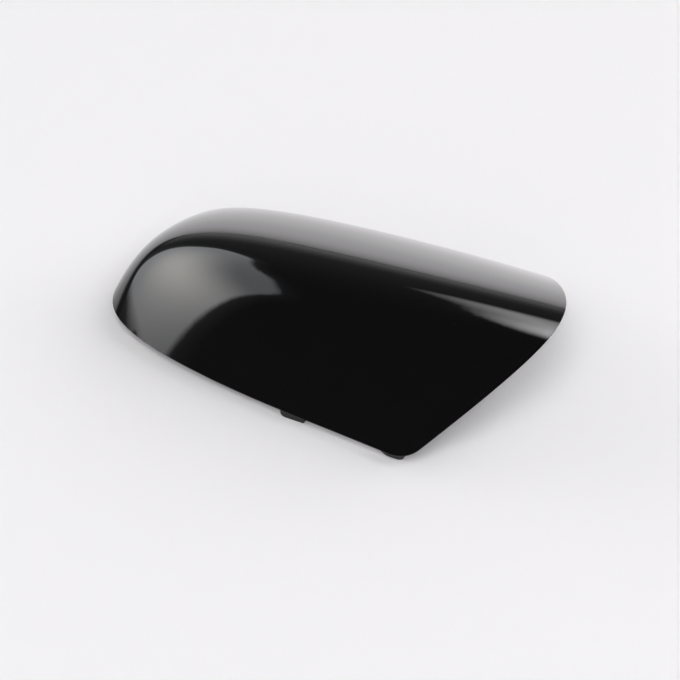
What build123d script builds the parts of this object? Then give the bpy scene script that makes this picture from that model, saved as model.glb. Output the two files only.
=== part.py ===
from build123d import *
import os
from math import cos, radians, sin, tan

# Sizes in mm and degrees. X runs inboard along the cover, Y runs from the near rim to the far
# rim, and Z runs up from the flat of the rim, until the end, where the frame moves to the box.

# Skin: a net of six arches, from beyond the inboard cut to the nose
WALL = 2.5
FOOT_Z = -20  # the skin runs on below the rim to this foot, and is trimmed at the rim
ARCH_X = (-20, -80, -140)
NEAR_FOOT_Y = (-23, -17.5, -13.5, -12)
FAR_FOOT_Y = (172, 176, 174, 169)
NEAR_TILT = 68
NEAR_HANDLE = 80
FAR_TILT = 49
FAR_HANDLE = 63
CREST_INBOARD = (30.5, 79.5)
CREST_OUTBOARD = (22, 58.5)
CREST_RUN = 3
CREST_DROP = 1

# Nose: a steep end wall, drawn in from the last arch
NOSE_NEAR = (-192, 16)
NOSE_FAR = (-197, 150)
SHOULDER_X = -189.5
SHOULDER_RISE = 0.94
SHOULDER_PULL = 0.38

# Rim: flat inboard, swept up towards the nose, and cut off at a lean at the inboard end
SWEEP_FROM = -50
SWEEP_R = 1900
SWEEP_TURN = 6  # far enough to pass the nose
CUT_FOOT = 3.2
CUT_LEAN = 40
CUT_OVERRUN = 20
CORNER_R = 20

# Ribs inside the shell
RIB = 1.6
RIB_DEPTH = 5
RIB_STOP = 14  # height above the rim at which the ribs end
CROSS_RIB_X = (-42, -90, -138)
SPINE_RIB_Y = 58

# Tongues under the near rim, and snap hooks inside the far rim and the nose
TAB = 2.2
TAB_DROP = 5.5  # the cover rests on its tabs, this far below the rim
TAB_ROOT = 9
TONGUE_X = -61
TONGUE = 13
TONGUE_R = (2.5, 0.8)  # at its outboard and its inboard foot
CORNER_TONGUE = 14
CORNER_TONGUE_DROP = 4
CORNER_TONGUE_R = (6, 4)
CORNER_TONGUE_SETBACK = 2
HOOK = 12
HOOK_ROOT = 16  # height of the wall's inner face where a hook stands
HOOK_X = (-28, -84, -140)
NOSE_HOOK_Y = 74
NOSE_HOOK_FOOT = 4  # height of its foot above the flat of the rim
CATCH = 1.6
CATCH_H = 4

# Locating pegs on the inside of the far face
PEG_D = 6
PEG_LENGTH = 12
PEG_TIP = 1
PEG_END = 12  # height of its tip above the flat of the rim
PEG_ROOT = 30  # height of the wall's inner face where a peg stands
PEG_X = (-56, -124)
GUSSET = 14


def between(a, b, share):
    return a + (b - a) * share


def arch(near_y, crest, far_y):
    """Control points (y, z) of one arch, from the near foot over the crest to the far foot."""
    crest_y, crest_z = crest
    near, far = radians(NEAR_TILT), radians(FAR_TILT)
    return [
        (near_y, FOOT_Z),
        (near_y + NEAR_HANDLE * cos(near), FOOT_Z + NEAR_HANDLE * sin(near)),
        (crest_y, crest_z),
        (crest_y + CREST_RUN, crest_z - CREST_DROP),
        (far_y - FAR_HANDLE * cos(far), FOOT_Z + FAR_HANDLE * sin(far)),
        (far_y, FOOT_Z),
    ]


def skin_net():
    """Control points of the outer skin, arch by arch, the last two of them the nose."""
    last = len(ARCH_X)
    arches = []
    for i, (near_y, far_y) in enumerate(zip(NEAR_FOOT_Y, FAR_FOOT_Y)):
        crest = [between(a, b, i / last) for a, b in zip(CREST_INBOARD, CREST_OUTBOARD)]
        arches.append(arch(near_y, crest, far_y))
    lean = tan(radians(CUT_LEAN))
    start = CUT_FOOT + CUT_OVERRUN
    net = [[Vector(start + z * lean, y, z) for y, z in arches[0]]]
    for x, points in zip(ARCH_X, arches[1:]):
        net.append([Vector(x, y, z) for y, z in points])
    nose = []
    for j in range(len(arches[0])):
        share = j / (len(arches[0]) - 1)
        x, y = [between(a, b, share) for a, b in zip(NOSE_NEAR, NOSE_FAR)]
        nose.append(Vector(x, y, FOOT_Z))
    shoulder = []
    for point, foot in zip(net[-1], nose):
        rise = FOOT_Z + (point.Z - FOOT_Z) * SHOULDER_RISE
        shoulder.append(Vector(SHOULDER_X, between(point.Y, foot.Y, SHOULDER_PULL), rise))
    return net + [shoulder, nose]


def skin(depth):
    """The skin face at a depth inside the outer surface, each net point moved in along its normal."""
    net = skin_net()
    rows, columns = len(net) - 1, len(net[0]) - 1
    moved = []
    for i, row in enumerate(net):
        points = []
        for j, point in enumerate(row):
            along = net[min(i + 1, rows)][j] - net[max(i - 1, 0)][j]
            across = row[min(j + 1, columns)] - row[max(j - 1, 0)]
            points.append(point - across.cross(along).normalized() * depth)
        moved.append(points)
    return Face.make_bezier_surface(moved)


def under(depth):
    """The solid below the skin at a depth, down past the foot."""
    return extrude(skin(depth), amount=2 * CREST_INBOARD[1], dir=(0, 0, -1))


def side_view():
    """The outline that the rim, its corner and the inboard cut leave in side view."""
    reach = 2 * CREST_INBOARD[1]
    flat = Line((CUT_FOOT, 0), (SWEEP_FROM, 0))
    sweep = JernArc(flat @ 1, (-1, 0), SWEEP_R, -SWEEP_TURN)
    end = sweep @ 1
    top = CUT_FOOT + reach * tan(radians(CUT_LEAN))
    sides = Polyline(end, (end.X, reach), (top, reach), flat @ 0)
    outline = make_face([flat, sweep, sides])
    return fillet(outline.vertices().sort_by_distance(flat @ 0)[0], CORNER_R)


def shell():
    """The moulded wall, trimmed to the side view."""
    reach = FAR_FOOT_Y[0]
    kept = extrude(Plane.XZ * side_view(), amount=2 * reach, both=True)
    return kept & thicken(skin(0), amount=WALL)


def wall_point(start, direction):
    """Where a line from inside the shell meets the inner face of the wall."""
    line = Axis(start, direction)
    hits = [point for point, _ in skin(WALL).find_intersection_points(line)]
    return max(hits, key=lambda point: (point - line.position).dot(line.direction))


def ribs():
    """Thin arches across the shell and one along it, a rib's depth proud of the wall."""
    width, height = 2 * FAR_FOOT_Y[0], CREST_INBOARD[1]
    raised = (Align.CENTER, Align.CENTER, Align.MIN)
    plates = [Pos(x, 0, RIB_STOP) * Box(RIB, width, height, align=raised) for x in CROSS_RIB_X]
    first, last = CROSS_RIB_X[0], CROSS_RIB_X[-1]
    spine = Box(first - last, RIB, height, align=raised)
    plates.append(Pos((first + last) / 2, SPINE_RIB_Y, RIB_STOP) * spine)
    return (Part() + plates) & (under(WALL / 2) - under(WALL + RIB_DEPTH))


def tongue(x, length, drop, radii):
    """A plain tab inside the near rim and down past it, rounded at its two feet."""
    y = wall_point((x, SPINE_RIB_Y, 0), (0, -1, 0)).Y
    height = drop + TAB_ROOT
    face = Pos(0, height / 2) * Rectangle(length, height)
    for end, radius in zip((-length, length), radii):
        face = fillet(face.vertices().sort_by_distance((end, 0))[0], radius)
    return Pos(x, y, -drop) * extrude(Plane.XZ * face, amount=-TAB)


def hook(foot):
    """A snap hook from a height up into the wall, its catch facing +Y."""
    height = HOOK_ROOT + WALL - foot
    profile = Polyline(
        (0, 0), (-TAB, 0), (-TAB, height), (0, height), (0, 2 * CATCH_H), (CATCH, CATCH_H), (0, 0)
    )
    return Pos(0, 0, foot) * extrude(Plane.YZ * make_face(profile), amount=HOOK / 2, both=True)


def hooks():
    """Snap hooks inside the far rim, and one inside the nose."""
    placed = []
    for x in HOOK_X:
        y = wall_point((x, SPINE_RIB_Y, HOOK_ROOT), (0, 1, 0)).Y
        placed.append(Pos(x, y, 0) * hook(-TAB_DROP))
    x = wall_point((ARCH_X[0], NOSE_HOOK_Y, HOOK_ROOT), (-1, 0, 0)).X
    placed.append(Pos(x, NOSE_HOOK_Y, 0) * Rot(0, 0, 90) * hook(NOSE_HOOK_FOOT))
    return placed


def pegs():
    """Locating pegs under the far face, each on a round shoulder and a cross of gussets."""
    upright = (Align.CENTER, Align.CENTER, Align.MIN)
    pin = Cylinder(PEG_D / 2, PEG_LENGTH, align=upright)
    pin = chamfer(pin.edges().sort_by(Axis.Z)[0], PEG_TIP)
    post = Cylinder(GUSSET / 2, RIB, align=upright)
    for turn in (0, 90):
        post += Rot(0, 0, turn) * Box(GUSSET, RIB, GUSSET, align=upright)
    peg = pin + Pos(0, 0, PEG_LENGTH) * post
    placed = []
    for x in PEG_X:
        y = wall_point((x, SPINE_RIB_Y, PEG_ROOT), (0, 1, 0)).Y
        placed.append(Pos(x, y, PEG_END) * peg)
    return placed


def mirror_cover():
    """The one moulded piece: wall, ribs, tongues, hooks and pegs."""
    corner_x = CUT_FOOT - CORNER_TONGUE_SETBACK - CORNER_TONGUE / 2
    tabs = [
        tongue(TONGUE_X, TONGUE, TAB_DROP, TONGUE_R),
        tongue(corner_x, CORNER_TONGUE, CORNER_TONGUE_DROP, CORNER_TONGUE_R),
    ]
    inside = (Part() + tabs + hooks() + pegs()) & under(WALL / 2)
    return shell() + ribs() + inside


os.makedirs("parts", exist_ok=True)
cover = mirror_cover()
box = cover.bounding_box()
cover = Pos(-box.center().X, -box.center().Y, -box.min.Z) * cover
export_step(cover, "parts/mirror_cover.step")
print("mirror_cover", len(cover.solids()), "solid", round(cover.volume), "mm3", box.size)
print("frame moved by", -box.center().X, -box.center().Y, -box.min.Z)
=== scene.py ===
from math import comb, cos, radians, sin, tan

import bmesh
import bpy
from mathutils import Matrix, Vector


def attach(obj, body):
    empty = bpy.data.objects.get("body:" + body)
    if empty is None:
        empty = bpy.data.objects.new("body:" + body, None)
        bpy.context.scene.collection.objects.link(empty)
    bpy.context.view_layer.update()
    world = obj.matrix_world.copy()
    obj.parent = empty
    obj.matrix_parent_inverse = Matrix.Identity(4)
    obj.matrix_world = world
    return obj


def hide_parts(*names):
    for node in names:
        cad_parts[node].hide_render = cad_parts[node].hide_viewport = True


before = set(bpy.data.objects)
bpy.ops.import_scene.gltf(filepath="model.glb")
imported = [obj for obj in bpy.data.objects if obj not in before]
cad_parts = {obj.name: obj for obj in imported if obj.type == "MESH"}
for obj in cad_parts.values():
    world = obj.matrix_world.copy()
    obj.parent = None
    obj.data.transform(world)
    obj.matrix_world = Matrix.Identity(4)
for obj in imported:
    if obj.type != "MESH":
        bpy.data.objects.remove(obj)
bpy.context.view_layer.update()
mm = 0.001
nearly = 0.01  # mm, for finding edges by their place
print("frame loaded, nodes:", sorted(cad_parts))


# skin of the shell: six arches of six points, from past the inboard cut to the nose
skinShape = {
    "footZ": -20, "archX": (-20, -80, -140),
    "nearFootY": (-23, -17.5, -13.5, -12), "farFootY": (172, 176, 174, 169),
    "nearTilt": 68, "nearHandle": 80, "farTilt": 49, "farHandle": 63,
    "crestInboard": (30.5, 79.5), "crestOutboard": (22, 58.5), "crestRun": 3, "crestDrop": 1,
    "noseNear": (-192, 16), "noseFar": (-197, 150),
    "shoulderX": -189.5, "shoulderRise": 0.94, "shoulderPull": 0.38,
    "inboardX": 23.2, "cutLean": 40,
    "frameShift": (67.335, -70.555, 5.5),  # to the middle of the box, on the floor
}


def mix(a, b, share):
    return a + (b - a) * share


def archPoints(nearY, crest, farY):
    s = skinShape
    near, far = radians(s["nearTilt"]), radians(s["farTilt"])
    return [
        (nearY, s["footZ"]),
        (nearY + s["nearHandle"] * cos(near), s["footZ"] + s["nearHandle"] * sin(near)),
        crest,
        (crest[0] + s["crestRun"], crest[1] - s["crestDrop"]),
        (farY - s["farHandle"] * cos(far), s["footZ"] + s["farHandle"] * sin(far)),
        (farY, s["footZ"]),
    ]


def skinNet():
    s = skinShape
    arches = []
    lastArch = len(s["archX"])
    for i, (nearY, farY) in enumerate(zip(s["nearFootY"], s["farFootY"])):
        crest = [mix(a, b, i / lastArch) for a, b in zip(s["crestInboard"], s["crestOutboard"])]
        arches.append(archPoints(nearY, crest, farY))
    lean = tan(radians(s["cutLean"]))
    net = [[Vector((s["inboardX"] + z * lean, y, z)) for y, z in arches[0]]]
    for x, points in zip(s["archX"], arches[1:]):
        net.append([Vector((x, y, z)) for y, z in points])
    nose = []
    lastPoint = len(arches[0]) - 1
    for j in range(lastPoint + 1):
        x, y = [mix(a, b, j / lastPoint) for a, b in zip(s["noseNear"], s["noseFar"])]
        nose.append(Vector((x, y, s["footZ"])))
    shoulder = []
    for point, foot in zip(net[-1], nose):
        rise = s["footZ"] + (point.z - s["footZ"]) * s["shoulderRise"]
        shoulder.append(Vector((s["shoulderX"], mix(point.y, foot.y, s["shoulderPull"]), rise)))
    shift = Vector(s["frameShift"])
    return [[(p + shift) * mm for p in row] for row in net + [shoulder, nose]]


net = skinNet()
netAcross = [list(column) for column in zip(*net)]
degree = len(net) - 1  # the same along and across


def weights(t, n=degree):
    return [comb(n, k) * t**k * (1 - t) ** (n - k) for k in range(n + 1)]


def slopes(t):
    w = weights(t, degree - 1)
    return [degree * (a - b) for a, b in zip([0] + w, w + [0])]


def blendPoints(factors, points):
    return sum((p * f for p, f in zip(points, factors)), Vector())


def skinPoint(u, v, depth):
    rows = [blendPoints(weights(u), column) for column in netAcross]
    rowSlopes = [blendPoints(slopes(u), column) for column in netAcross]
    along = blendPoints(weights(v), rowSlopes)
    across = blendPoints(slopes(v), rows)
    return blendPoints(weights(v), rows) - across.cross(along).normalized() * depth


def laySheet(bm, cellsAlong, cellsAcross, depth, materialIndex=0, inward=False):
    place = Matrix.Translation((0.5, 0.5, 0))  # the grid runs from 0 to 1 both ways
    made = bmesh.ops.create_grid(
        bm, x_segments=cellsAlong, y_segments=cellsAcross, size=0.5, matrix=place
    )
    faces = {f for v in made["verts"] for f in v.link_faces}
    for v in made["verts"]:
        v.co = skinPoint(v.co.x, v.co.y, depth)
    if not inward:
        bmesh.ops.reverse_faces(bm, faces=list(faces))
    for f in faces:
        f.material_index = materialIndex


# rim: flat inboard, swept up to the nose, rounded at the corner, and cut off at the skin's lean
rimShape = {
    "sweepFrom": -50, "sweepR": 1900, "sweepTurn": 6, "sweepSteps": 12,
    "cutFoot": 3.2, "cornerR": 20, "cornerSteps": 10,
}


def rimPlanes():
    s = rimShape
    shift = Vector(skinShape["frameShift"])
    planes = []
    for i in range(s["sweepSteps"] + 1):
        turn = radians(s["sweepTurn"] * i / s["sweepSteps"])
        out = Vector((-sin(turn), 0, -cos(turn)))
        planes.append((Vector((s["sweepFrom"], 0, s["sweepR"])) + out * s["sweepR"], out))
    lean = radians(skinShape["cutLean"])
    r = s["cornerR"]
    middle = Vector((s["cutFoot"] - r * (1 - sin(lean)) / cos(lean), 0, r))
    for i in range(1, s["cornerSteps"] + 1):
        turn = (radians(90) - lean) * i / s["cornerSteps"]
        out = Vector((sin(turn), 0, -cos(turn)))
        planes.append((middle + out * r, out))
    return [((point + shift) * mm, out) for point, out in planes]


def cutAway(bm, point, out):
    geom = bm.verts[:] + bm.edges[:] + bm.faces[:]
    return bmesh.ops.bisect_plane(
        bm, geom=geom, dist=1e-7, plane_co=point, plane_no=out, clear_outer=True
    )


def roundOff(bm, geom, offset, segments, affect="EDGES"):
    return bmesh.ops.bevel(
        bm, geom=geom, offset=offset, offset_type="OFFSET", affect=affect,
        segments=segments, profile=0.5, material=-1,
    )


def meshObject(bm, name):
    mesh = bpy.data.meshes.new(name)
    bm.to_mesh(mesh)
    bm.free()
    piece = bpy.data.objects.new(name, mesh)
    bpy.context.scene.collection.objects.link(piece)
    return piece


def finishMesh(bm, name, materials, smoothAngle=35):
    for f in bm.faces:
        f.smooth = True
    for e in bm.edges:
        sharp = len(e.link_faces) == 2 and e.calc_face_angle(0) > radians(smoothAngle)
        e.smooth = not sharp and e.smooth
    piece = meshObject(bm, name)
    for m in materials:
        piece.data.materials.append(m)
    return piece


# short ways to the nodes that the finishes and the stage share
def linkAll(links, pairs):
    for a, b in pairs:
        links.new(a, b)


def mathNode(nodes, operation, kind="ShaderNodeMath"):
    node = nodes.new(kind)
    node.operation = operation
    return node


def rangeNode(nodes, source=(0, 1), result=(0, 1), smooth=False):
    node = nodes.new("ShaderNodeMapRange")
    node.inputs["From Min"].default_value, node.inputs["From Max"].default_value = source
    node.inputs["To Min"].default_value, node.inputs["To Max"].default_value = result
    if smooth:
        node.interpolation_type = "SMOOTHSTEP"
    return node


def colorMix(nodes, a, b):
    node = nodes.new("ShaderNodeMix")
    node.data_type = "RGBA"
    node.inputs["A"].default_value = (*a, 1)
    node.inputs["B"].default_value = (*b, 1)
    return node


# finishes: polished outside, as moulded inside, with one group for what varies over both
glossFinish = {
    "color": (0.0012, 0.0012, 0.0014), "dust": (0.05, 0.05, 0.052), "ior": 1.5,
    "roughness": (0.034, 0.056), "mottleSpan": (0.3, 0.7), "mottleScale": 45,
    "grainScale": 210, "grainHeight": 6e-6,  # a faint orange peel, about 5 mm across
    "speckScale": 70, "speckSize": 0.022, "speckShare": 0.3,
}
insideFinish = {
    "color": (0.005, 0.005, 0.0054), "dust": (0.03, 0.03, 0.031), "ior": 1.5,
    "roughness": (0.42, 0.6), "mottleSpan": (0.3, 0.7), "mottleScale": 60,
    "grainScale": 1400, "grainHeight": 4e-5,  # fine spark grain of the mould
    "speckScale": 90, "speckSize": 0.03, "speckShare": 0.2,
}
surfaceInputs = {
    "Grain Scale": "grainScale", "Mottle Scale": "mottleScale",
    "Speck Scale": "speckScale", "Speck Size": "speckSize", "Speck Share": "speckShare",
}


def surfaceGroup():
    group = bpy.data.node_groups.new("mouldedSurface", "ShaderNodeTree")
    sockets = group.interface
    sockets.new_socket("Vector", in_out="INPUT", socket_type="NodeSocketVector")
    for name in surfaceInputs:
        sockets.new_socket(name, in_out="INPUT", socket_type="NodeSocketFloat")
    for name in ("Height", "Mottle", "Specks"):
        sockets.new_socket(name, in_out="OUTPUT", socket_type="NodeSocketFloat")
    nodes, links = group.nodes, group.links
    given, out = nodes.new("NodeGroupInput"), nodes.new("NodeGroupOutput")
    grain, mottle = nodes.new("ShaderNodeTexNoise"), nodes.new("ShaderNodeTexNoise")
    grain.inputs["Detail"].default_value = 1.0
    mottle.inputs["Detail"].default_value = 3.0
    cells = nodes.new("ShaderNodeTexVoronoi")
    dots = rangeNode(nodes, result=(1, 0))  # 1 in the middle of a cell, 0 from the speck's edge on
    pick = nodes.new("ShaderNodeSeparateColor")
    few = mathNode(nodes, "LESS_THAN")
    specks = mathNode(nodes, "MULTIPLY")
    linkAll(links, [
        (given.outputs["Vector"], grain.inputs["Vector"]),
        (given.outputs["Vector"], mottle.inputs["Vector"]),
        (given.outputs["Vector"], cells.inputs["Vector"]),
        (given.outputs["Grain Scale"], grain.inputs["Scale"]),
        (given.outputs["Mottle Scale"], mottle.inputs["Scale"]),
        (given.outputs["Speck Scale"], cells.inputs["Scale"]),
        (given.outputs["Speck Size"], dots.inputs["From Max"]),
        (cells.outputs["Distance"], dots.inputs["Value"]),
        (cells.outputs["Color"], pick.inputs["Color"]),
        (pick.outputs["Red"], few.inputs[0]),
        (given.outputs["Speck Share"], few.inputs[1]),
        (dots.outputs["Result"], specks.inputs[0]),
        (few.outputs["Value"], specks.inputs[1]),
        (grain.outputs["Fac"], out.inputs["Height"]),
        (mottle.outputs["Fac"], out.inputs["Mottle"]),
        (specks.outputs["Value"], out.inputs["Specks"]),
    ])
    return group


mouldedSurface = surfaceGroup()


def mouldedBlack(name, s):
    m = bpy.data.materials.new(name)
    m.use_nodes = True
    nodes, links = m.node_tree.nodes, m.node_tree.links
    shader = nodes["Principled BSDF"]
    shader.inputs["IOR"].default_value = s["ior"]
    where = nodes.new("ShaderNodeTexCoord")
    surface = nodes.new("ShaderNodeGroup")
    surface.node_tree = mouldedSurface
    for socket, key in surfaceInputs.items():
        surface.inputs[socket].default_value = s[key]
    color = colorMix(nodes, s["color"], s["dust"])
    rough = rangeNode(nodes, s["mottleSpan"], s["roughness"])
    bump = nodes.new("ShaderNodeBump")
    bump.inputs["Distance"].default_value = s["grainHeight"]
    linkAll(links, [
        (where.outputs["Object"], surface.inputs["Vector"]),
        (surface.outputs["Specks"], color.inputs["Factor"]),
        (color.outputs["Result"], shader.inputs["Base Color"]),
        (surface.outputs["Mottle"], rough.inputs["Value"]),
        (rough.outputs["Result"], shader.inputs["Roughness"]),
        (surface.outputs["Height"], bump.inputs["Height"]),
        (bump.outputs["Normal"], shader.inputs["Normal"]),
    ])
    return m


gloss = mouldedBlack("glossBlack", glossFinish)
inside = mouldedBlack("insideBlack", insideFinish)
print("finishes:", gloss.name, inside.name)


# shell: outer and inner skin, trimmed together and joined along the rim
shellShape = {
    "wall": 2.5, "cellsAlong": 190, "cellsAcross": 170, "innerAlong": 120, "innerAcross": 110,
    "shortEdge": 0.5, "rimBevel": 0.35, "rimSegments": 3,
}
glossIndex, insideIndex = 0, 1  # the shell's two finishes


# both in the mesh's own order, so that every run welds and joins the same
def openEdges(bm):
    return [e for e in bm.edges if e.is_boundary]


def openVerts(bm):
    return [v for v in bm.verts if v.is_boundary]


def weldShortEdges(bm, limit):
    bmesh.ops.remove_doubles(bm, verts=openVerts(bm), dist=limit)
    onto = {}
    for v in openVerts(bm):
        for e in v.link_edges:
            other = e.other_vert(v)
            if not other.is_boundary and other not in onto and e.calc_length() < limit:
                onto[other] = v
    bmesh.ops.weld_verts(bm, targetmap=onto)


def coverShell():
    s = shellShape
    bm = bmesh.new()
    laySheet(bm, s["cellsAlong"], s["cellsAcross"], 0, glossIndex)
    laySheet(bm, s["innerAlong"], s["innerAcross"], s["wall"] * mm, insideIndex, inward=True)
    for point, out in rimPlanes():
        cutAway(bm, point, out)
    weldShortEdges(bm, s["shortEdge"] * mm)
    rim = set(bmesh.ops.bridge_loops(bm, edges=openEdges(bm))["faces"])
    for f in rim:
        f.material_index = insideIndex
    bmesh.ops.recalc_face_normals(bm, faces=bm.faces[:])
    outerRim = [
        e for e in bm.edges
        if len(e.link_faces) == 2 and len(rim & set(e.link_faces)) == 1
        and any(f.material_index == glossIndex for f in e.link_faces)
    ]
    soft = set(roundOff(bm, outerRim, s["rimBevel"] * mm, s["rimSegments"])["faces"])
    for f in soft:
        for e in f.edges:
            if any(n not in soft for n in e.link_faces):
                e.smooth = False
    return finishMesh(bm, "coverShell", [gloss, inside])


def standIn(piece):
    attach(piece, "root")
    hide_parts("mirror_cover")
    print(piece.name, len(piece.data.polygons), "faces")
    return piece


shell = standIn(coverShell())
bpy.context.view_layer.update()


def trimToWall(bm, start, direction):
    spot, normal = shell.ray_cast(start * mm, direction)[1:3]
    into = spot - normal * shellShape["wall"] * mm / 2  # ends half way through the wall
    cut = cutAway(bm, into, -normal)["geom_cut"]
    edges = [g for g in cut if isinstance(g, bmesh.types.BMEdge)]
    bmesh.ops.edgeloop_fill(bm, edges=edges)


def softEdges(piece, width, segments=2, overAngle=40):
    bevel = piece.modifiers.new("softEdges", "BEVEL")
    bevel.width = width * mm
    bevel.segments = segments
    bevel.limit_method = "ANGLE"
    bevel.angle_limit = radians(overAngle)


def closedPiece(name, parts, bevelWidth):
    bm = bmesh.new()
    for part in parts:
        mesh = bpy.data.meshes.new("part")
        part.to_mesh(mesh)
        part.free()
        bm.from_mesh(mesh)
        bpy.data.meshes.remove(mesh)
    bmesh.ops.recalc_face_normals(bm, faces=bm.faces[:])
    piece = finishMesh(bm, name, [inside])
    softEdges(piece, bevelWidth)
    standIn(piece)


# ribs: thin arches across the inside and one along it
ribShape = {
    "thick": 1.6, "deep": 5, "stopZ": 19.5, "crossX": (25.335, -22.665, -70.665), "spineY": -12.555,
    "cells": 90, "shortEdge": 0.1, "bevel": 0.25,
}


def slab(low, high, axis):
    out = Vector(axis)
    return [(out * high, out), (out * low, -out)]


def ribStrip(planes):
    s = ribShape
    wall = shellShape["wall"]
    bm = bmesh.new()
    laySheet(bm, s["cells"], s["cells"], wall / 2 * mm)
    laySheet(bm, s["cells"], s["cells"], (wall + s["deep"]) * mm, inward=True)
    foot = (Vector((0, 0, s["stopZ"])), Vector((0, 0, -1)))
    for point, out in [*planes, foot]:
        cutAway(bm, point * mm, out)
    weldShortEdges(bm, s["shortEdge"] * mm)
    bmesh.ops.bridge_loops(bm, edges=openEdges(bm))
    return bm


def innerRibs():
    s = ribShape
    half = s["thick"] / 2
    strips = [ribStrip(slab(x - half, x + half, (1, 0, 0))) for x in s["crossX"]]
    spine = slab(s["spineY"] - half, s["spineY"] + half, (0, 1, 0))
    ends = slab(s["crossX"][-1], s["crossX"][0], (1, 0, 0))
    strips.append(ribStrip(spine + ends))
    closedPiece("innerRibs", strips, s["bevel"])


# snap hooks: three along the far rim, one inside the nose
hookShape = {
    "wide": 12, "thick": 2.2, "catch": 1.6, "catchZ": 4, "rootZ": 24, "bevel": 0.3,
    "farRim": ((39.335, 55.313), (-16.665, 51.074), (-72.665, 41.638)),
    "nose": (-111.163, 3.445), "noseFoot": 9.5, "noseTurn": 90,
    "aimZ": 20, "aimFrom": 20,  # the wall is looked for at this height, from this far inside
}


def snapHook(x, y, footZ=0, turn=0):
    s = hookShape
    thick, catch, catchZ, high = s["thick"], s["catch"], s["catchZ"], s["rootZ"] - footZ
    outline = (
        (0, 0), (-thick, 0), (-thick, high), (0, high), (0, 2 * catchZ), (catch, catchZ),
    )
    bm = bmesh.new()
    corners = [bm.verts.new((-s["wide"] / 2, across, up)) for across, up in outline]
    face = bm.faces.new(corners)
    sides = bmesh.ops.extrude_face_region(bm, geom=[face])["geom"]
    moved = [g for g in sides if isinstance(g, bmesh.types.BMVert)]
    bmesh.ops.translate(bm, verts=moved, vec=(s["wide"], 0, 0))
    place = Matrix.Translation((x, y, footZ)) @ Matrix.Rotation(radians(turn), 4, "Z")
    bmesh.ops.transform(bm, matrix=Matrix.Scale(mm, 4) @ place, verts=bm.verts[:])
    outward = Vector((-sin(radians(turn)), cos(radians(turn)), 0))
    trimToWall(bm, Vector((x, y, s["aimZ"])) - outward * s["aimFrom"], outward)
    return bm


def snapHooks():
    s = hookShape
    hooks = [snapHook(x, y) for x, y in s["farRim"]]
    hooks.append(snapHook(*s["nose"], s["noseFoot"], s["noseTurn"]))
    closedPiece("snapHooks", hooks, s["bevel"])


# tongues: a tab under the near rim and a shorter one at its corner
tongueShape = {
    "thick": 2.2, "topZ": 14.5, "bevel": 0.3, "roundSteps": 8,
    "near": {"x": 6.335, "y": -74.759, "wide": 13, "footZ": 0, "outboardR": 2.5, "inboardR": 0.8},
    "corner": {"x": 61.535, "y": -79.218, "wide": 14, "footZ": 1.5, "outboardR": 6, "inboardR": 4},
    "aimZ": 11, "aimFrom": 30,  # as for the hooks
}


def rimTongue(t):
    s = tongueShape
    tab = bmesh.new()
    bmesh.ops.create_cube(tab, size=1)
    size = Matrix.Diagonal((t["wide"], s["thick"], s["topZ"] - t["footZ"], 1))
    place = Matrix.Translation((t["x"], t["y"] + s["thick"] / 2, (s["topZ"] + t["footZ"]) / 2))
    bmesh.ops.transform(tab, matrix=place @ size, verts=tab.verts[:])
    for side, r in ((-1, t["outboardR"]), (1, t["inboardR"])):
        endX = t["x"] + side * t["wide"] / 2
        foot = [
            e for e in tab.edges
            if all(abs(v.co.x - endX) < nearly and v.co.z < t["footZ"] + nearly for v in e.verts)
        ]
        roundOff(tab, foot, r, s["roundSteps"])
    bmesh.ops.scale(tab, vec=(mm, mm, mm), verts=tab.verts[:])
    trimToWall(tab, Vector((t["x"], t["y"] + s["aimFrom"], s["aimZ"])), Vector((0, -1, 0)))
    return tab


def rimTongues():
    s = tongueShape
    closedPiece("rimTongues", [rimTongue(s["near"]), rimTongue(s["corner"])], s["bevel"])


# locating pegs: a round pin on a shoulder and a cross of gussets
pegShape = {
    "r": 3, "long": 12, "tip": 1, "endZ": 17.5, "gusset": 14, "thick": 1.6, "bevel": 0.2,
    "places": ((11.335, 29.239), (-56.665, 17.715)),
    "pinSteps": 48, "shoulderSteps": 64, "tipSteps": 1,
    "aimDrop": 5,  # the wall is looked for straight up, from this far below the tip
}


def addRound(bm, x, y, footZ, r, high, steps):
    at = Matrix.Translation((x, y, footZ + high / 2))
    bmesh.ops.create_cone(
        bm, cap_ends=True, segments=steps, radius1=r, radius2=r, depth=high, matrix=at
    )


def locatingPeg(x, y):
    s = pegShape
    peg = bmesh.new()
    addRound(peg, x, y, s["endZ"], s["r"], s["long"], s["pinSteps"])
    tip = [e for e in peg.edges if all(v.co.z < s["endZ"] + nearly for v in e.verts)]
    roundOff(peg, tip, s["tip"], s["tipSteps"])
    seat = s["endZ"] + s["long"]
    half = s["gusset"] / 2
    addRound(peg, x, y, seat, half, s["thick"], s["shoulderSteps"])
    at = Matrix.Translation((x, y, seat + half + s["thick"]))
    size = Matrix.Diagonal((s["gusset"], s["thick"], s["gusset"], 1))
    for turn in (0, 90):
        turned = at @ Matrix.Rotation(radians(turn), 4, "Z")
        bmesh.ops.create_cube(peg, size=1, matrix=turned @ size)
    bmesh.ops.scale(peg, vec=(mm, mm, mm), verts=peg.verts[:])
    trimToWall(peg, Vector((x, y, s["endZ"] - s["aimDrop"])), Vector((0, 0, 1)))
    return peg


def locatingPegs():
    s = pegShape
    closedPiece("locatingPegs", [locatingPeg(x, y) for x, y in s["places"]], s["bevel"])


innerRibs()
snapHooks()
rimTongues()
locatingPegs()


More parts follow.
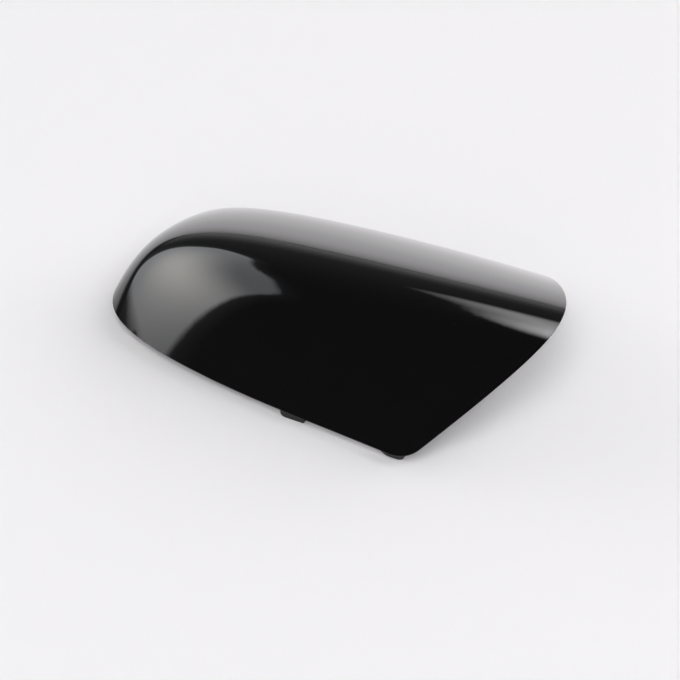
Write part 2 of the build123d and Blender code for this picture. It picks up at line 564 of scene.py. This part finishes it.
# stage: a pale table in a dark room, with soft lights for the gloss to show and others for the table
stageLook = {
    "tableColor": (0.92, 0.907, 0.925), "floorR": 12.0, "floorSteps": 128,
    "backdrop": 0.88, "backdropFrom": (0.6, 0.9),
    # painted shade: as the gloss sees it, the table's colour darkens to the left and with distance and
    # is lighter near the object, into a glow at the back
    "glossTint": (1, 0.982, 1), "leftAcross": (-0.906, -0.42, 0), "leftFade": (0.16, 0.25),
    "leftPaintedShade": 0.1, "nearLevel": 1.13, "farLevel": 0.5, "fadeAway": 3.6,
    "roomLight": 0.09, "horizonGlow": 0.34, "glowHeight": 0.19, "glowFall": 2.0,
    "glowTowards": (-0.42, 0.906, 0), "glowSpread": (0.88, 0.985),
}
# corners and spot as seen from the light's aim: azimuth and elevation
lightDefaults = {
    "aim": (0, -0.03, 0.03), "away": 3.0, "lightsTable": True, "inGloss": True,
    "cornerR": 0.0, "cornerSteps": 8, "halo": 0.0, "haloLevel": 0.05, "softEdge": 0.2,
    "spotSize": (4.0, 4.0), "spotTurn": 0, "edgeTint": (1.0, 1.0, 1.0), "middleTint": (1.0, 1.0, 1.0),
}
leftLight = {
    "aim": (-0.075, -0.05, 0.03), "faces": -85, "lightsTable": False,
    "corners": (
        (-38.5, -8), (-38.5, 18), (-48.6, 48.7), (-72, 57.6), (-102, 58),
        (-142, 33), (-143, 19), (-108.5, -12), (-71, -4.5),
    ),
    "cornerR": 0.7, "halo": 0.45, "softEdge": 0.16,
    "spot": (-77.9, 29), "spotSize": (4.46, 1.91), "spotTurn": -10.8, "edge": 1.7, "middle": 6.1,
    "edgeTint": (0.94, 0.96, 1.0), "middleTint": (1.0, 0.96, 0.91),
}
backLight = {
    "aim": (0.085, -0.035, 0.058), "faces": -190, "lightsTable": False,
    "corners": ((-153.2, 19.3), (-153.2, 33), (-134, 62), (-235, 62), (-235, 19.3)),
    "cornerR": 0.5, "softEdge": 0.35,
    "spot": (-150, 50), "spotSize": (5.0, 4.6), "edge": 0.35, "middle": 6.5,
    "edgeTint": (0.98, 0.98, 1.0),
}
rightLight = {
    "faces": 68, "lightsTable": False,
    "corners": ((20, 32), (20, 60), (115, 60), (115, 32)), "cornerR": 0.3, "softEdge": 0.5,
    "spot": (68, 46), "spotSize": (5.0, 4.0), "edge": 1.0, "middle": 2.6,
}
tableAlone = {"away": 5.0, "inGloss": False}  # for the five that light the table alone
tableKey = {
    **tableAlone, "faces": 22, "corners": ((0, 35), (0, 65), (45, 65), (45, 35)), "cornerR": 0.3,
    "spot": (22, 50), "edge": 7.8, "middle": 8.5,
}
tableFront = {
    **tableAlone, "faces": 22, "corners": ((0, 10), (0, 35), (45, 35), (45, 10)),
    "spot": (22, 22), "edge": 1.8, "middle": 2.0,
}
tableLeft = {
    **tableAlone, "faces": -90, "corners": ((-138, 3), (-138, 30), (-45, 30), (-45, 3)), "cornerR": 0.3,
    "spot": (-60, 15), "spotSize": (7.0, 4.0), "edge": 0.75, "middle": 1.8,
}
tableRight = {
    **tableAlone, "faces": 125, "corners": ((100, 10), (100, 65), (150, 65), (150, 10)), "cornerR": 0.3,
    "spot": (125, 52), "spotSize": (6.0, 6.0), "edge": 2.2, "middle": 3.3,
}
tableBack = {
    **tableAlone, "faces": -182, "corners": ((-210, 5), (-210, 35), (-153, 35), (-153, 5)),
    "spot": (-182, 20), "edge": 0.8, "middle": 1.0,
}


def heading(azimuth, elevation):
    a, e = radians(azimuth), radians(elevation)
    return Vector((sin(a) * cos(e), -cos(a) * cos(e), sin(e)))


def bareMaterial(piece):
    m = bpy.data.materials.new(piece.name)
    m.use_nodes = True
    m.node_tree.nodes.clear()
    piece.data.materials.append(m)
    return m.node_tree.nodes, m.node_tree.links


def softPanel(name, changes):
    s = {**lightDefaults, **changes}
    ahead = heading(s["faces"], 0)
    side = Vector((0, 0, 1)).cross(ahead)
    place = Matrix.Translation(Vector(s["aim"]) + ahead * s["away"])
    place @= Matrix((side, (0, 0, 1), -ahead)).transposed().to_4x4()

    def onPanel(azimuth, elevation):
        d = heading(azimuth, elevation)
        reach = s["away"] / d.dot(ahead)
        return Vector((d.dot(side), d.z, 0)) * reach

    bm = bmesh.new()
    bm.faces.new([bm.verts.new(onPanel(*c)) for c in s["corners"]])
    if s["cornerR"]:
        roundOff(bm, bm.verts[:], s["cornerR"], s["cornerSteps"], affect="VERTICES")
    glowLayer = bm.verts.layers.float.new("glow")  # 0 at the edge, full from the soft edge inwards
    bm.normal_update()
    lit = bm.faces[:]
    for width, level in ((s["halo"], s["haloLevel"]), (s["softEdge"], 1.0)):
        if width:
            bmesh.ops.inset_region(
                bm, faces=lit, thickness=width, use_boundary=True, use_even_offset=True
            )
            for v in lit[0].verts:
                v[glowLayer] = level
    panel = meshObject(bm, name)
    panel.matrix_world = place
    panel.visible_camera = False
    panel.visible_diffuse = s["lightsTable"]
    panel.visible_glossy = s["inGloss"]
    nodes, links = bareMaterial(panel)
    where = nodes.new("ShaderNodeTexCoord")
    move = nodes.new("ShaderNodeMapping")
    move.vector_type = "TEXTURE"
    move.inputs["Location"].default_value = onPanel(*s["spot"])
    move.inputs["Rotation"].default_value = (0, 0, radians(s["spotTurn"]))
    move.inputs["Scale"].default_value = (*s["spotSize"], 1)
    ball = nodes.new("ShaderNodeTexGradient")
    ball.gradient_type = "SPHERICAL"
    level = rangeNode(nodes, result=(s["edge"], s["middle"]), smooth=True)
    tint = colorMix(nodes, s["edgeTint"], s["middleTint"])
    fade = nodes.new("ShaderNodeAttribute")
    fade.attribute_name = "glow"
    faded = mathNode(nodes, "MULTIPLY_ADD")  # at its edge no darker than the room
    faded.inputs[2].default_value = stageLook["roomLight"]
    glow = nodes.new("ShaderNodeEmission")
    out = nodes.new("ShaderNodeOutputMaterial")
    linkAll(links, [
        (where.outputs["Object"], move.inputs["Vector"]),
        (move.outputs["Vector"], ball.inputs["Vector"]),
        (ball.outputs["Fac"], level.inputs["Value"]),
        (ball.outputs["Fac"], tint.inputs["Factor"]),
        (level.outputs["Result"], faded.inputs[0]),
        (fade.outputs["Fac"], faded.inputs[1]),
        (tint.outputs["Result"], glow.inputs["Color"]),
        (faded.outputs["Value"], glow.inputs["Strength"]),
        (glow.outputs["Emission"], out.inputs["Surface"]),
    ])


def tableTop():
    s = stageLook
    bm = bmesh.new()
    bmesh.ops.create_circle(
        bm, cap_ends=True, cap_tris=False, segments=s["floorSteps"], radius=s["floorR"]
    )
    table = meshObject(bm, "tableTop")
    nodes, links = bareMaterial(table)
    where = nodes.new("ShaderNodeTexCoord")
    path = nodes.new("ShaderNodeLightPath")
    away = mathNode(nodes, "LENGTH", "ShaderNodeVectorMath")
    # painted shade on the table for every ray but the camera's: darker to the left and with distance,
    # lighter near the object
    across = mathNode(nodes, "DOT_PRODUCT", "ShaderNodeVectorMath")
    across.inputs[1].default_value = s["leftAcross"]
    past = mathNode(nodes, "ADD")  # 1 + distance
    past.inputs[1].default_value = 1.0
    slant = mathNode(nodes, "DIVIDE")
    left = rangeNode(nodes, s["leftFade"], (1, s["leftPaintedShade"]), smooth=True)
    distanceShade = rangeNode(nodes, (0, s["fadeAway"]), (1 / s["nearLevel"], 1 / s["farLevel"]))
    paintedShade = mathNode(nodes, "DIVIDE")
    paintedShade.use_clamp = True
    tinted = mathNode(nodes, "SCALE", "ShaderNodeVectorMath")
    tinted.inputs[0].default_value = s["glossTint"]
    color = nodes.new("ShaderNodeMix")  # the camera sees the table as it is
    color.data_type = "RGBA"
    color.inputs["B"].default_value = (*s["tableColor"], 1)
    paper = nodes.new("ShaderNodeBsdfDiffuse")
    far = rangeNode(nodes, s["backdropFrom"], smooth=True)
    farSeen = mathNode(nodes, "MULTIPLY")
    pale = nodes.new("ShaderNodeEmission")
    pale.inputs["Color"].default_value = (s["backdrop"],) * 3 + (1,)
    both = nodes.new("ShaderNodeMixShader")
    out = nodes.new("ShaderNodeOutputMaterial")
    linkAll(links, [
        (where.outputs["Object"], away.inputs[0]),
        (where.outputs["Object"], across.inputs[0]),
        (away.outputs["Value"], past.inputs[0]),
        (across.outputs["Value"], slant.inputs[0]),
        (past.outputs["Value"], slant.inputs[1]),
        (slant.outputs["Value"], left.inputs["Value"]),
        (away.outputs["Value"], distanceShade.inputs["Value"]),
        (left.outputs["Result"], paintedShade.inputs[0]),
        (distanceShade.outputs["Result"], paintedShade.inputs[1]),
        (path.outputs["Is Camera Ray"], color.inputs["Factor"]),
        (paintedShade.outputs["Value"], tinted.inputs["Scale"]),
        (tinted.outputs["Vector"], color.inputs["A"]),
        (color.outputs["Result"], paper.inputs["Color"]),
        (away.outputs["Value"], far.inputs["Value"]),
        (far.outputs["Result"], farSeen.inputs[0]),
        (path.outputs["Is Camera Ray"], farSeen.inputs[1]),
        (farSeen.outputs["Value"], both.inputs["Fac"]),
        (paper.outputs["BSDF"], both.inputs[1]),
        (pale.outputs["Emission"], both.inputs[2]),
        (both.outputs["Shader"], out.inputs["Surface"]),
    ])


def darkRoom():
    s = stageLook
    world = bpy.data.worlds.new("darkRoom")
    bpy.context.scene.world = world
    world.use_nodes = True
    nodes, links = world.node_tree.nodes, world.node_tree.links
    nodes.clear()
    where = nodes.new("ShaderNodeTexCoord")
    split = nodes.new("ShaderNodeSeparateXYZ")
    low = rangeNode(nodes, (0, s["glowHeight"]), (1, 0))
    soft = mathNode(nodes, "POWER")
    soft.inputs[1].default_value = s["glowFall"]
    towards = mathNode(nodes, "DOT_PRODUCT", "ShaderNodeVectorMath")
    towards.inputs[1].default_value = s["glowTowards"]
    wide = rangeNode(nodes, s["glowSpread"])
    glow = mathNode(nodes, "MULTIPLY")
    level = mathNode(nodes, "MULTIPLY_ADD")
    level.inputs[1].default_value, level.inputs[2].default_value = s["horizonGlow"], s["roomLight"]
    path = nodes.new("ShaderNodeLightPath")
    seen = nodes.new("ShaderNodeMix")
    seen.inputs["B"].default_value = s["backdrop"]
    light = nodes.new("ShaderNodeBackground")
    light.inputs["Color"].default_value = (1, 1, 1, 1)
    out = nodes.new("ShaderNodeOutputWorld")
    linkAll(links, [
        (where.outputs["Generated"], split.inputs["Vector"]),
        (where.outputs["Generated"], towards.inputs[0]),
        (split.outputs["Z"], low.inputs["Value"]),
        (low.outputs["Result"], soft.inputs[0]),
        (towards.outputs["Value"], wide.inputs["Value"]),
        (soft.outputs["Value"], glow.inputs[0]),
        (wide.outputs["Result"], glow.inputs[1]),
        (glow.outputs["Value"], level.inputs[0]),
        (path.outputs["Is Camera Ray"], seen.inputs["Factor"]),
        (level.outputs["Value"], seen.inputs["A"]),
        (seen.outputs["Result"], light.inputs["Strength"]),
        (light.outputs["Background"], out.inputs["Surface"]),
    ])


tableTop()
darkRoom()
softPanel("leftLight", leftLight)
softPanel("backLight", backLight)
softPanel("rightLight", rightLight)
softPanel("tableKey", tableKey)
softPanel("tableFront", tableFront)
softPanel("tableLeft", tableLeft)
softPanel("tableRight", tableRight)
softPanel("tableBack", tableBack)
print("stage set")


# camera, at the photograph's angle
view = {
    "azimuth": 27.0, "elevation": 38.35, "away": 1.0, "target": (0.01395, -0.03886, 0.0265),
    "lens": 109.0, "sensor": 36.0, "clipEnd": 50.0,
}


def viewCamera():
    s = view
    data = bpy.data.cameras.new("viewCamera")
    data.sensor_width = s["sensor"]
    data.lens = s["lens"]
    data.clip_end = s["clipEnd"]
    camera = bpy.data.objects.new("viewCamera", data)
    bpy.context.scene.collection.objects.link(camera)
    back = heading(s["azimuth"], s["elevation"])
    camera.location = Vector(s["target"]) + back * s["away"]
    camera.rotation_euler = back.to_track_quat("Z", "Y").to_euler()
    bpy.context.scene.camera = camera


viewCamera()
bpy.context.scene.view_settings.view_transform = "Standard"
